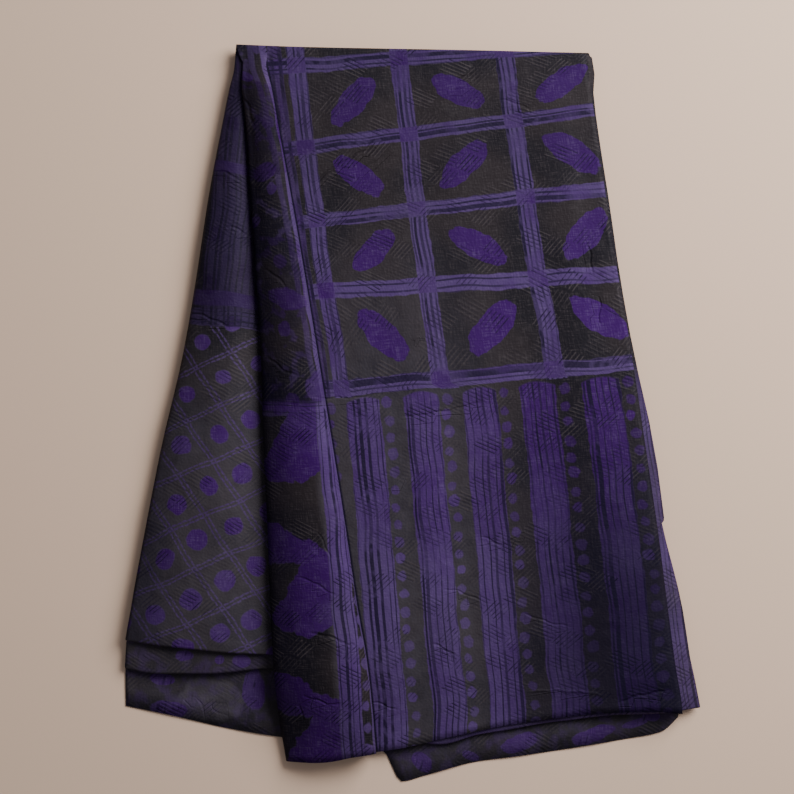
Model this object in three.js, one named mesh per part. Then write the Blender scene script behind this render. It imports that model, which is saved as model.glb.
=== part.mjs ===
// A length of printed cloth, folded back and forth into six lengths and laid flat, with its
// left margin gathered into a soft roll that overlaps the front.
// Millimetres. +Z is up and +Y runs to the top fold. The origin is the centre of the underside.

import * as THREE from "three";

// The cloth and its pile
const clothThick = 1.2;
const layerPitch = 3.0; // from the middle of one length to the middle of the next
const foldSteps = 4; // straight steps round each fold that joins two lengths

// The gathered roll at the left of the front length
const openingRun = 48; // below the top fold, the distance in which the pleat and the roll open
const pleatTuck = 15; // how far the front panel runs on under the ridge
const narrowTuck = 0.3; // and at most this share of the roll's width
const pleatGap = 3.4; // between the two sides of that tuck
const gapRise = 2; // the roll has risen by that gap at one part in this many of its width
const hemTuck = 0.42; // how far the left margin is turned back, as a share of the roll's width
const turnInset = 3;

// How the front settles where the lengths under it end
const settleStart = 5;
const settleRun = 80;
const bareSwell = 0.55; // the share of the swells that it keeps where no length lies under it

// The swells of the pile
const lobeUnderRoll = 8; // the left lobe's swell runs on this far under the roll
const lobeRoundness = 0.75; // under 1, the lobe turns down more steeply at the pile's left edge
const valleySoftness = 2; // over 1, it meets the roll in a softer valley
const sideCrestIn = 6; // the right swell's crest lies this far inside the front's edge
const sideInnerRun = 135;
const sideOuterRun = 34;

// Long soft waves of the front panel
const waves = [
  { height: 0.9, width: 92, lean: 0.16, shift: 20 },
  { height: 0.6, width: 57, lean: 0.1, shift: 5 },
];
const waveRise = 8; // they are whole at one part in this many of the panel's width

// The lines that run down the pile, as the x of each at a given y, and the height of each swell
// there: the left lobe, the roll's crest, and the raised right side.
const downLines = [
  { y: 388, pileLeft: -184, rollLeft: -184, ridge: -157, frontRight: 180, upperRight: 181,
    lowerRight: 180, rearRight: 178, lobe: 0, crest: 2, side: 0.5 },
  { y: 361, pileLeft: -186, rollLeft: -180.5, ridge: -151.5, frontRight: 183.5, upperRight: 191,
    lowerRight: 182, rearRight: 180, lobe: 1.5, crest: 7, side: 0.6 },
  { y: 340, pileLeft: -191, rollLeft: -177.7, ridge: -147, frontRight: 186, upperRight: 189.5,
    lowerRight: 185, rearRight: 183, lobe: 3.5, crest: 10, side: 0.8 },
  { y: 300, pileLeft: -199, rollLeft: -173, ridge: -140, frontRight: 192, upperRight: 194,
    lowerRight: 190, rearRight: 188, lobe: 6.5, crest: 13, side: 1.0 },
  { y: 225, pileLeft: -213, rollLeft: -168.3, ridge: -126.3, frontRight: 202.4, upperRight: 205.5,
    lowerRight: 201, rearRight: 198, lobe: 9.5, crest: 16, side: 1.3 },
  { y: 146, pileLeft: -225, rollLeft: -163, ridge: -112.5, frontRight: 214.5, upperRight: 217,
    lowerRight: 213, rearRight: 210, lobe: 12, crest: 18, side: 2.0 },
  { y: 67, pileLeft: -238.6, rollLeft: -157.8, ridge: -99.5, frontRight: 228, upperRight: 231,
    lowerRight: 227, rearRight: 223, lobe: 13, crest: 20, side: 3.5 },
  { y: -38, pileLeft: -262.8, rollLeft: -154.6, ridge: -82.5, frontRight: 243.5, upperRight: 253.5,
    lowerRight: 248, rearRight: 240, lobe: 13, crest: 22, side: 8.0 },
  { y: -110, pileLeft: -277, rollLeft: -151, ridge: -71, frontRight: 253.8, upperRight: 263,
    lowerRight: 260, rearRight: 252, lobe: 12, crest: 23, side: 11.5 },
  { y: -200, pileLeft: -293.5, rollLeft: -147.7, ridge: -57.5, frontRight: 266, upperRight: 270,
    lowerRight: 282, rearRight: 266, lobe: 9.5, crest: 24, side: 13.5 },
  { y: -260, pileLeft: -302, rollLeft: -144.5, ridge: -47, frontRight: 274, upperRight: 272,
    lowerRight: 291.5, rearRight: 274, lobe: 7, crest: 23, side: 13.5 },
  { y: -310, pileLeft: -301.5, rollLeft: -140, ridge: -41.5, frontRight: 281.8, upperRight: 272,
    lowerRight: 301.5, rearRight: 279, lobe: 3, crest: 20, side: 11.0 },
  { y: -364, pileLeft: -301, rollLeft: -131.5, ridge: -37, frontRight: 284, upperRight: 272,
    lowerRight: 302, rearRight: 281, lobe: 0, crest: 16, side: 6.0 },
];

// The lines that run across the pile, as the y of each at a given x: the top fold, the front
// length's cut end, the two lower folds, and the rear length's cut end with its one low corner.
const topFold = [
  { x: -184, y: 384.5 }, { x: -118, y: 382 }, { x: 60, y: 378.5 }, { x: 181, y: 375.5 },
];
const frontEnd = [
  { x: -131, y: -363.5 }, { x: -97, y: -364 }, { x: -65, y: -358 }, { x: -13, y: -350 },
  { x: 40, y: -338 }, { x: 92, y: -327 }, { x: 145, y: -319 }, { x: 197, y: -313 },
  { x: 250, y: -310.5 }, { x: 282, y: -313 },
];
const firstFold = [
  { x: -299, y: -235 }, { x: -223, y: -244 }, { x: -147, y: -250 }, { x: -13, y: -258 },
  { x: 113, y: -236 }, { x: 197, y: -186 }, { x: 263, y: -108 },
];
const secondFold = [
  { x: -303, y: -264 }, { x: -270, y: -269 }, { x: -223, y: -269.5 }, { x: -147, y: -265 },
  { x: -86, y: -288 }, { x: -23, y: -331 }, { x: 29, y: -344 }, { x: 71, y: -334 },
  { x: 155, y: -320 }, { x: 197, y: -314 }, { x: 250, y: -310 }, { x: 302, y: -306 },
];
const rearEnd = [
  { x: -302, y: -306 }, { x: -249, y: -317 }, { x: -197, y: -329 }, { x: -137, y: -339 },
  { x: -76, y: -346 }, { x: -31, y: -353 }, { x: -11, y: -385.5 }, { x: 14, y: -379 },
  { x: 66, y: -365 }, { x: 118, y: -358 }, { x: 223, y: -341 }, { x: 262, y: -333 },
  { x: 281, y: -316 },
];

// The front length's columns from its hidden left margin to its right edge. "across" is the
// column's place in the top fold, where the roll is still flat, as a share of the width. Lower down
// "from" is the part it belongs to, "run" its share of the way across that part, "rise" its height
// as a share of the crest, and "lift" its height as a share of the pleat's gap.
const frontColumns = [
  { across: 0.0, from: "hem", run: 1.0 },
  { across: 0.007, from: "hem", run: 0.45 },
  { across: 0.013, from: "turn", rise: 0.0 },
  { across: 0.019, from: "roll", run: 0.0, rise: 0.22 },
  { across: 0.025, from: "roll", run: 0.04, rise: 0.46 },
  { across: 0.031, from: "roll", run: 0.14, rise: 0.66 },
  { across: 0.039, from: "roll", run: 0.32, rise: 0.84 },
  { across: 0.047, from: "roll", run: 0.52, rise: 0.95 },
  { across: 0.055, from: "roll", run: 0.71, rise: 1.0 },
  { across: 0.063, from: "roll", run: 0.87, rise: 0.92 },
  { across: 0.069, from: "roll", run: 0.965, rise: 0.7 },
  { across: 0.075, from: "roll", run: 1.0, rise: 0.38 },
  { across: 0.081, from: "pleat", run: 0.45, lift: 1.0 },
  { across: 0.087, from: "pleat", run: 1.0, lift: 0.5 },
  { across: 0.093, from: "pleat", run: 0.45, lift: 0.0 },
  { across: 0.105, from: "panel", run: 0.02 },
  { across: 0.2, from: "panel", run: 0.13 },
  { across: 0.36, from: "panel", run: 0.31 },
  { across: 0.52, from: "panel", run: 0.5 },
  { across: 0.68, from: "panel", run: 0.69 },
  { across: 0.84, from: "panel", run: 0.86 },
  { across: 1.0, from: "panel", run: 1.0 },
];

// The five lengths under the front, from the top down. "level" counts the lengths below it,
// "arch" is its share of the pile's swells, "right" names its right edge, "leftIn", "rightIn"
// and "topIn" set its edges in from the lines, and "rows" is how many steps it is drawn in.
const hiddenLengths = [
  { level: 4, arch: 1.0, right: "upperRight", leftIn: 0, rightIn: 1.5, topIn: 0, end: firstFold,
    rows: 20 },
  { level: 3, arch: 0.85, right: "upperRight", leftIn: 1.5, rightIn: 0, topIn: 3, end: firstFold,
    rows: 11 },
  { level: 2, arch: 0.7, right: "lowerRight", leftIn: 1, rightIn: 0, topIn: 3, end: secondFold,
    rows: 13 },
  { level: 1, arch: 0.45, right: "lowerRight", leftIn: 2.5, rightIn: 2, topIn: 6, end: secondFold,
    rows: 11 },
  { level: 0, arch: 0.0, right: "rearRight", leftIn: 1, rightIn: 0, topIn: 6, end: rearEnd,
    rows: 14 },
];
const frontRows = 27;
const frontLevel = 5;
const rowCrowding = 0.55; // how much closer the rows stand near the top fold
const evenBy = 0.35; // the share of a hidden length by which its columns are evenly spaced
const columnBias = 1.0735; // sets one column through the rear length's low corner

const mix = (a, b, t) => a + (b - a) * t;
const clamp01 = (t) => Math.min(1, Math.max(0, t));
const smooth = (t) => clamp01(t) ** 2 * (3 - 2 * clamp01(t));

// A smooth curve through the rows of a table: the value in column "key" where "by" is "at".
function follow(rows, by, key, at) {
  const order = rows[0][by] < rows[rows.length - 1][by] ? rows : [...rows].reverse();
  const last = order.length - 1;
  const held = Math.min(order[last][by], Math.max(order[0][by], at));
  let i = 0;
  while (i < last - 1 && held > order[i + 1][by]) i += 1;
  const slope = (a, b) => (order[b][key] - order[a][key]) / (order[b][by] - order[a][by]);
  const span = order[i + 1][by] - order[i][by];
  const middle = slope(i, i + 1);
  const tangent = (a, b, c) => {
    if (a < 0 || c > last) return middle;
    const before = slope(a, b);
    const after = slope(b, c);
    return before * after <= 0 ? 0 : (2 * before * after) / (before + after);
  };
  const start = tangent(i - 1, i, i + 1) * span;
  const finish = tangent(i, i + 1, i + 2) * span;
  const t = (held - order[i][by]) / span;
  const a = order[i][key];
  const b = order[i + 1][key];
  return a + start * t + (3 * (b - a) - 2 * start - finish) * t ** 2
    + (2 * (a - b) + start + finish) * t ** 3;
}

const lineAt = (name, y) => follow(downLines, "y", name, y);
const endAt = (line, x) => follow(line, "x", "y", x);

// The swell of the pile at a place, before a length takes its share of it.
function swellAt(x, y) {
  const left = lineAt("pileLeft", y);
  const right = lineAt("rollLeft", y) + lobeUnderRoll;
  const share = clamp01((x - left) / (right - left));
  const shape = share < 0.5 ? lobeRoundness : valleySoftness;
  const lobe = lineAt("lobe", y) * Math.sin(Math.PI * share) ** shape;
  const past = x - (lineAt("frontRight", y) - sideCrestIn);
  const run = past < 0 ? sideInnerRun : sideOuterRun;
  const side = lineAt("side", y) * (1 - smooth(Math.abs(past) / run));
  return lobe + side;
}

// The middle of the cloth in one of the lengths under the front.
function hiddenHeight(length, x, y) {
  return clothThick / 2 + length.level * layerPitch + length.arch * swellAt(x, y);
}

// How much of the pile lies under the front at a place, in lengths of cloth: each length under
// it fades out a little beyond its own end, so that the front settles over the step.
function levelsUnder(x, y) {
  return hiddenLengths.reduce((sum, length) => {
    const beyond = endAt(length.end, x) - y;
    return sum + 1 - smooth((beyond - settleStart) / settleRun);
  }, 0);
}

function frontBase(x, y) {
  const whole = levelsUnder(x, y) / frontLevel;
  const level = levelsUnder(x, y) * layerPitch;
  return clothThick / 2 + level + mix(bareSwell, 1, whole) * swellAt(x, y);
}

function waveAt(x, y) {
  return waves.reduce((sum, wave) => {
    const turn = (2 * Math.PI * (x + wave.lean * y + wave.shift)) / wave.width;
    return sum + wave.height * (0.5 + 0.5 * Math.sin(turn));
  }, 0);
}

// One point of the front length: its column at a given y.
function frontPoint(column, y) {
  const left = lineAt("rollLeft", y);
  const ridge = lineAt("ridge", y);
  const right = lineAt("frontRight", y);
  const crest = lineAt("crest", y);
  const flatX = mix(left, right, column.across);
  const open = smooth((endAt(topFold, flatX) - y) / openingRun);
  let x = mix(ridge, right, column.run);
  let lift = 0;
  if (column.from === "hem") x = left + turnInset + hemTuck * (ridge - left) * column.run;
  if (column.from === "turn") x = left + turnInset;
  if (column.from === "roll") {
    x = mix(left, ridge, column.run);
    lift = pleatGap * smooth(column.run * gapRise) + crest * column.rise;
  }
  if (column.from === "pleat") {
    x = ridge - Math.min(pleatTuck, narrowTuck * (ridge - left)) * column.run;
    lift = pleatGap * column.lift;
  }
  if (column.from === "panel") lift = waveAt(x, y) * smooth(column.run * waveRise);
  const openX = mix(flatX, x, open);
  return new THREE.Vector3(openX, y, frontBase(openX, y) + open * lift);
}

// The y at which a column meets a line that runs across the pile, found by closing in on it.
const meetTries = 8;
function meet(line, pointAt) {
  let y = line[0].y;
  for (let i = 0; i < meetTries; i += 1) y = endAt(line, pointAt(y).x);
  return y;
}

// Rows of points from the top fold down to an end line.
function rowsDown(count, columns, pointAt, topLine, topIn, endLine) {
  const spans = columns.map((column) => ({
    top: meet(topLine, (y) => pointAt(column, y, 0)) - topIn,
    bottom: meet(endLine, (y) => pointAt(column, y, 1)),
  }));
  return Array.from({ length: count + 1 }, (_, row) => {
    const step = row / count;
    const down = step - rowCrowding * step * (1 - step);
    return columns.map((column, i) => pointAt(column, mix(spans[i].top, spans[i].bottom, down), down));
  });
}

function hiddenRows(length) {
  const pointAt = (column, y, down) => {
    const even = (column.index / (frontColumns.length - 1)) ** columnBias;
    const left = lineAt("pileLeft", y) + length.leftIn;
    const right = lineAt(length.right, y) - length.rightIn;
    const x = mix(left, right, mix(column.across, even, smooth(down / evenBy)));
    return new THREE.Vector3(x, y, hiddenHeight(length, x, y));
  };
  const columns = frontColumns.map((column, index) => ({ ...column, index }));
  return rowsDown(length.rows, columns, pointAt, topFold, length.topIn, length.end);
}

// The rounded fold between the last row of one length and the first row of the next.
function foldRows(before, last, next) {
  return Array.from({ length: foldSteps - 1 }, (_, i) => {
    const turn = (Math.PI * (i + 1)) / foldSteps;
    return last.map((point, column) => {
      const outward = new THREE.Vector3(0, Math.sign(point.y - before[column].y), 0);
      const radius = Math.abs(point.z - next[column].z) / 2;
      return point.clone()
        .lerp(next[column], 0.5 - 0.5 * Math.cos(turn))
        .addScaledVector(outward, radius * Math.sin(turn));
    });
  });
}

// The whole cloth as one grid of rows, from the front's cut end to the rear's cut end.
function clothRows() {
  const front = rowsDown(frontRows, frontColumns, frontPoint, topFold, 0, frontEnd);
  const rows = front.reverse();
  hiddenLengths.forEach((length, i) => {
    const down = hiddenRows(length);
    const next = i % 2 === 0 ? down : down.reverse();
    const end = rows.length - 1;
    rows.push(...foldRows(rows[end - 1], rows[end], next[0]), ...next);
  });
  return rows;
}

// A closed sheet of even thickness about a grid of points.
function sheetGeometry(rows, thick) {
  const width = rows[0].length;
  const corner = (row, column) => rows[row][column];
  const held = (i, count) => Math.min(count - 1, Math.max(0, i));
  const vertices = [];
  for (const side of [1, -1]) {
    rows.forEach((row, r) => row.forEach((point, c) => {
      const across = corner(r, held(c + 1, width)).clone().sub(corner(r, held(c - 1, width)));
      const along = corner(held(r + 1, rows.length), c).clone()
        .sub(corner(held(r - 1, rows.length), c));
      const offset = across.cross(along).normalize().multiplyScalar((side * thick) / 2);
      vertices.push(...point.clone().add(offset).toArray());
    }));
  }
  const upper = (r, c) => r * width + c;
  const lower = (r, c) => upper(r, c) + rows.length * width;
  const faces = [];
  const quad = (a, b, c, d) => faces.push(a, b, c, a, c, d);
  for (let r = 0; r < rows.length - 1; r += 1) {
    for (let c = 0; c < width - 1; c += 1) {
      quad(upper(r, c), upper(r, c + 1), upper(r + 1, c + 1), upper(r + 1, c));
      quad(lower(r, c), lower(r + 1, c), lower(r + 1, c + 1), lower(r, c + 1));
    }
    quad(upper(r, 0), upper(r + 1, 0), lower(r + 1, 0), lower(r, 0));
    quad(upper(r, width - 1), lower(r, width - 1), lower(r + 1, width - 1), upper(r + 1, width - 1));
  }
  for (let c = 0; c < width - 1; c += 1) {
    const end = rows.length - 1;
    quad(upper(0, c), lower(0, c), lower(0, c + 1), upper(0, c + 1));
    quad(upper(end, c), upper(end, c + 1), lower(end, c + 1), lower(end, c));
  }
  const geometry = new THREE.BufferGeometry();
  geometry.setAttribute("position", new THREE.Float32BufferAttribute(vertices, 3));
  geometry.setIndex(faces);
  geometry.computeVertexNormals();
  return geometry;
}

const printedCotton = new THREE.MeshStandardMaterial({
  name: "printed cotton", color: 0x2e2340, roughness: 0.85, metalness: 0,
});

const cloth = new THREE.Mesh(sheetGeometry(clothRows(), clothThick), printedCotton);
cloth.name = "cloth";

const foldedCloth = new THREE.Group();
foldedCloth.add(cloth);
export default foldedCloth;
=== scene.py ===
# %% [markdown]
# # A length of printed cloth, folded and laid flat
# One length of resist-dyed cotton is folded back and forth into six lengths. Its left margin is
# gathered into a soft roll that overlaps the front. The lesson loads the solid model as a fixed
# frame, sets up the studio, shapes the cloth as one thin sheet, and then dyes it with nodes.

import math

import bpy
import numpy as np
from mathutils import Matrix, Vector


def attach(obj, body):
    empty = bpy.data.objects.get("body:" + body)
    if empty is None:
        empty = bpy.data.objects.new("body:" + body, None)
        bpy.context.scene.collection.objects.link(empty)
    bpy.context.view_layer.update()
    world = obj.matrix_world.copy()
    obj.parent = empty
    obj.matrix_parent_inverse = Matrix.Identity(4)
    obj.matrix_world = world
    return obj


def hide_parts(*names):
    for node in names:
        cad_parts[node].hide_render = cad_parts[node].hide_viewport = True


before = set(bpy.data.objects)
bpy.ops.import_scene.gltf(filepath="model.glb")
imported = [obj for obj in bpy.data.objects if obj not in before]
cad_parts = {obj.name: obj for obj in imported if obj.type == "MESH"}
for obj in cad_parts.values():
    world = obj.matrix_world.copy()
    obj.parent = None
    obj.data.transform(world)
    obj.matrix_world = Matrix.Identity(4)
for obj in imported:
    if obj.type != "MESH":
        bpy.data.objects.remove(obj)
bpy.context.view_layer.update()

# %% [markdown]
# ## The studio
# The cloth lies flat and is seen from straight above, so the camera looks down the Z axis. A long
# lens high above keeps the outline square and free of perspective. The lens follows from the width
# of floor that the picture takes in, so only real sizes are set here.

# %% Camera
MM = 0.001
view_centre = Vector((-16.0 * MM, 17.9 * MM, 0))
view_width = 833.7 * MM
camera_height = 3.0


def add_camera():
    lens = bpy.data.cameras.new("camera above")
    lens.sensor_width = 36
    lens.lens = lens.sensor_width * camera_height / view_width
    camera = bpy.data.objects.new("camera above", lens)
    camera.location = view_centre + Vector((0, 0, camera_height))
    bpy.context.collection.objects.link(camera)
    bpy.context.scene.camera = camera
    print("lens", round(lens.lens, 1), "mm")


add_camera()

# %% [markdown]
# A big soft light stands high at the right and behind, so that the folds throw soft shadows to the
# left. A dim even sky fills them. An area light gives softer edges than a sun or a point would,
# because its rays come from many places at once.

# %% Light and floor
key_place = Vector((1.15, 1.0, 1.2))
key_size = 1.3
key_power = 76
sky_color = (0.95, 0.95, 1.0)
sky_strength = 0.26
floor_color = (0.65, 0.46, 0.34)
floor_size = 8


def add_light():
    lamp = bpy.data.lights.new("soft key light", "AREA")
    lamp.size = key_size
    lamp.energy = key_power
    light = bpy.data.objects.new("soft key light", lamp)
    light.location = key_place
    light.rotation_euler = (-key_place).to_track_quat("-Z", "Y").to_euler()
    bpy.context.collection.objects.link(light)
    sky = bpy.data.worlds.new("even sky")
    sky.use_nodes = True
    backdrop = sky.node_tree.nodes["Background"]
    backdrop.inputs["Color"].default_value = (*sky_color, 1)
    backdrop.inputs["Strength"].default_value = sky_strength
    bpy.context.scene.world = sky


def add_floor():
    half = floor_size / 2
    mesh = bpy.data.meshes.new("floor")
    corners = [(-half, -half, 0), (half, -half, 0), (half, half, 0), (-half, half, 0)]
    mesh.from_pydata(corners, [], [(0, 1, 2, 3)])
    paint = bpy.data.materials.new("pale floor")
    paint.use_nodes = True
    shader = paint.node_tree.nodes["Principled BSDF"]
    shader.inputs["Base Color"].default_value = (*floor_color, 1)
    shader.inputs["Roughness"].default_value = 0.8
    mesh.materials.append(paint)
    floor = bpy.data.objects.new("floor", mesh)
    bpy.context.collection.objects.link(floor)
    return floor


add_light()
floor = add_floor()

# %% [markdown]
# ## The lines of the pile
# A folded pile is easy to describe by the lines that one sees from above: its left side, the
# roll, the ridge where the roll ends, and the right edges of the lengths. Each line is a column of
# a short table, in millimetres, with its x at a few places y down the pile. The last three columns
# are heights instead: of the lobe at the left, of the roll's crest and of the right side. A smooth
# curve through the rows gives every place in between.

# %% Tables of lines
def table(names, *rows):
    """A small table with named columns."""
    return {name: np.array(column) for name, column in zip(names.split(), zip(*rows))}


down_lines = table(
    "y pile_left roll_left ridge front_right upper_right lower_right rear_right lobe crest side",
    (388, -184, -184, -157, 180, 181, 180, 178, 0, 2, 0.5),
    (361, -186, -180.5, -151.5, 183.5, 191, 182, 180, 1.5, 7, 0.6),
    (340, -191, -177.7, -147, 186, 189.5, 185, 183, 3.5, 10, 0.8),
    (300, -199, -173, -140, 192, 194, 190, 188, 6.5, 13, 1.0),
    (225, -213, -168.3, -126.3, 202.4, 205.5, 201, 198, 9.5, 16, 1.3),
    (146, -225, -163, -112.5, 214.5, 217, 213, 210, 12, 18, 2.0),
    (67, -238.6, -157.8, -99.5, 228, 231, 227, 223, 13, 20, 3.5),
    (-38, -262.8, -154.6, -82.5, 243.5, 253.5, 248, 240, 13, 22, 8.0),
    (-110, -277, -151, -71, 253.8, 263, 260, 252, 12, 23, 11.5),
    (-200, -293.5, -147.7, -57.5, 266, 270, 282, 266, 9.5, 24, 13.5),
    (-260, -302, -144.5, -47, 274, 272, 291.5, 274, 7, 23, 13.5),
    (-310, -301.5, -140, -41.5, 281.8, 272, 301.5, 279, 3, 20, 11.0),
    (-364, -301, -131.5, -37, 284, 272, 302, 281, 0, 16, 6.0),
)
top_fold = table("x y", (-184, 384.5), (-118, 382), (60, 378.5), (181, 375.5))
front_end = table(
    "x y", (-131, -363.5), (-97, -364), (-65, -358), (-13, -350), (40, -338), (92, -327),
    (145, -319), (197, -313), (250, -310.5), (282, -313),
)
first_fold = table(
    "x y", (-299, -235), (-223, -244), (-147, -250), (-13, -258), (113, -236), (197, -186),
    (263, -108),
)
second_fold = table(
    "x y", (-303, -264), (-270, -269), (-223, -269.5), (-147, -265), (-86, -288), (-23, -331),
    (29, -344), (71, -334), (155, -320), (197, -314), (250, -310), (302, -306),
)
rear_end = table(
    "x y", (-302, -306), (-249, -317), (-197, -329), (-137, -339), (-76, -346), (-31, -353),
    (-11, -385.5), (14, -379), (66, -365), (118, -358), (223, -341), (262, -333), (281, -316),
)
print(len(down_lines["y"]), "rows of lines down the pile")

# %% [markdown]
# The curve through a table is a monotone cubic: it never swings past the rows that it joins, so a
# straight edge stays straight. Working on whole arrays at once keeps the script quick.

# %% Curves through the tables
def mix(a, b, t):
    return a + (b - a) * t


def smooth(t):
    t = np.clip(t, 0, 1)
    return t**2 * (3 - 2 * t)


def follow(rows, by, key, at):
    """One column of a table, read smoothly at any place along another."""
    order = np.argsort(rows[by])
    x, y = rows[by][order], rows[key][order]
    slope = np.diff(y) / np.diff(x)
    turns = slope[:-1] * slope[1:] <= 0
    total = np.where(turns, 1, slope[:-1] + slope[1:])
    inner = np.where(turns, 0, 2 * slope[:-1] * slope[1:] / total)
    tangent = np.concatenate([slope[:1], inner, slope[-1:]])
    held = np.clip(at, x[0], x[-1])
    i = np.clip(np.searchsorted(x, held, side="right") - 1, 0, len(x) - 2)
    span = x[i + 1] - x[i]
    t = (held - x[i]) / span
    start, finish, rise = tangent[i] * span, tangent[i + 1] * span, y[i + 1] - y[i]
    return y[i] + start * t + (3 * rise - 2 * start - finish) * t**2 + (start + finish - 2 * rise) * t**3


def line_at(name, y):
    return follow(down_lines, "y", name, y)


def end_at(line, x):
    return follow(line, "x", "y", x)


print("the ridge at mid height:", round(float(line_at("ridge", 0)), 1), "mm")

# %% [markdown]
# ## The swells of the pile
# The lengths do not lie flat: the left side swells into a soft lobe, and the right side is raised
# a little. The lowest length is flat, and each one above it takes a bigger share of both swells, so
# they nest without touching. The front settles over the places where the lengths under it end.

# %% Heights
cloth_thick = 0.9
layer_base = 0.6
layer_pitch = 3.0
lobe_under_roll = 8
lobe_roundness = 0.75
valley_softness = 2
side_crest_in = 6
side_inner_run = 135
side_outer_run = 34
settle_start = 5
settle_run = 80
bare_swell = 0.55
waves = table("height width lean shift", (0.9, 92, 0.16, 20), (0.6, 57, 0.1, 5))
hidden_lengths = [
    dict(level=4, arch=1.0, right="upper_right", left_in=0, right_in=1.5, top_in=0,
         end=first_fold, rows=88),
    dict(level=3, arch=0.85, right="upper_right", left_in=1.5, right_in=0, top_in=3,
         end=first_fold, rows=14),
    dict(level=2, arch=0.7, right="lower_right", left_in=1, right_in=0, top_in=3,
         end=second_fold, rows=40),
    dict(level=1, arch=0.45, right="lower_right", left_in=2.5, right_in=2, top_in=6,
         end=second_fold, rows=14),
    dict(level=0, arch=0.0, right="rear_right", left_in=1, right_in=0, top_in=6,
         end=rear_end, rows=56),
]


def swell_at(x, y):
    left = line_at("pile_left", y)
    right = line_at("roll_left", y) + lobe_under_roll
    share = np.clip((x - left) / (right - left), 0, 1)
    shape = np.where(share < 0.5, lobe_roundness, valley_softness)
    lobe = line_at("lobe", y) * np.sin(np.pi * share) ** shape
    past = x - (line_at("front_right", y) - side_crest_in)
    run = np.where(past < 0, side_inner_run, side_outer_run)
    return lobe + line_at("side", y) * (1 - smooth(abs(past) / run))


def levels_under(x, y):
    return sum(
        1 - smooth((end_at(length["end"], x) - y - settle_start) / settle_run)
        for length in hidden_lengths
    )


def front_base(x, y):
    levels = levels_under(x, y)
    share = mix(bare_swell, 1, levels / len(hidden_lengths))
    return layer_base + levels * layer_pitch + share * swell_at(x, y)


def wave_at(x, y):
    total = 0
    for height, width, lean, shift in zip(*waves.values()):
        total = total + height * (0.5 + 0.5 * np.sin(2 * np.pi * (x + lean * y + shift) / width))
    return total


print("the lobe's height at mid pile:", round(float(swell_at(-200.0, 0.0)), 1), "mm")

# %% [markdown]
# ## Across the front: hem, roll, pleat and panel
# Across the cloth the front length goes through five parts. The hem is turned back under the
# roll, the roll swells up to its crest and down to the ridge, a narrow pleat tucks in under the
# ridge, and the flat panel runs on to the right edge. A table says where each column of the cloth
# lies in its part. A spline through the columns then rounds the turns, which is finer and easier
# to steer than modelling them by hand.

# %% Places of the front's columns
opening_run = 48
pleat_tuck = 15
narrow_tuck = 0.3
pleat_gap = 3.4
hem_tuck = 0.42
turn_inset = 3
edge_columns = [
    (0.0, "hem", 1.0, 0), (0.007, "hem", 0.45, 0), (0.013, "turn", 0, 0),
    (0.019, "roll", 0.0, 0.22), (0.025, "roll", 0.04, 0.46), (0.031, "roll", 0.14, 0.66),
    (0.039, "roll", 0.32, 0.84), (0.047, "roll", 0.52, 0.95), (0.055, "roll", 0.71, 1.0),
    (0.063, "roll", 0.87, 0.92), (0.069, "roll", 0.965, 0.7), (0.075, "roll", 1.0, 0.38),
    (0.081, "pleat", 0.45, 1.0), (0.087, "pleat", 1.0, 0.5), (0.093, "pleat", 0.45, 0.0),
    (0.105, "panel", 0.02, 0), (0.2, "panel", 0.13, 0),
]
panel_lines = table(
    "across run", (0.105, 0.02), (0.2, 0.13), (0.36, 0.31), (0.52, 0.5), (0.68, 0.69),
    (0.84, 0.86), (1.0, 1.0),
)


def front_place(column, y):
    """Where one column of the front lies at a given y: its x, y and z."""
    across, part, run, rise = column
    left, ridge = line_at("roll_left", y), line_at("ridge", y)
    right, crest = line_at("front_right", y), line_at("crest", y)
    flat_x = mix(left, right, across)
    opened = smooth((end_at(top_fold, flat_x) - y) / opening_run)
    x, lift = mix(ridge, right, run), 0 * y
    if part == "hem":
        x = left + turn_inset + hem_tuck * (ridge - left) * run
    if part == "turn":
        x = left + turn_inset
    if part == "roll":
        x = mix(left, ridge, run)
        lift = pleat_gap * smooth(run * 2) + crest * rise
    if part == "pleat":
        x = ridge - np.minimum(pleat_tuck, narrow_tuck * (ridge - left)) * run
        lift = pleat_gap * rise
    if part == "panel":
        lift = wave_at(x, y) * smooth(run * 8)
    open_x = mix(flat_x, x, opened)
    return np.stack([open_x, y, front_base(open_x, y) + opened * lift], axis=-1)


crest_column = max(edge_columns, key=lambda column: column[3])
print("the roll's crest:", front_place(crest_column, np.array(-200.0)).round(1), "mm")

# %% [markdown]
# ## Down the cloth
# Every length is drawn as rows from the top fold to its own end line. The rows stand closer
# together near the top, where the roll opens. Between two columns of the table a smooth curve
# adds the finer ones, so the turns stay round in a close view.

# %% Rows and columns
row_crowding = 0.55
front_row_count = 150
edge_steps = 3
panel_steps = 72
panel_runs = np.linspace(panel_lines["run"][0], 1, panel_steps + 1)[1:]
panel_across = np.interp(panel_runs, panel_lines["run"], panel_lines["across"])


def rows_down(count, columns, top_in, end):
    """Points in rows from the top fold down to an end line, one column of points for each place."""
    step = np.linspace(0, 1, count + 1)
    down = step - row_crowding * step * (1 - step)
    points = []
    for place in columns:
        high, low = top_fold["y"][0], end["y"][0]
        for _ in range(8):
            high = end_at(top_fold, place(np.array(high), 0)[0])
            low = end_at(end, place(np.array(low), 1)[0])
        points.append(place(mix(high - top_in, low, down), down))
    return np.stack(points, axis=1)


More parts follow.
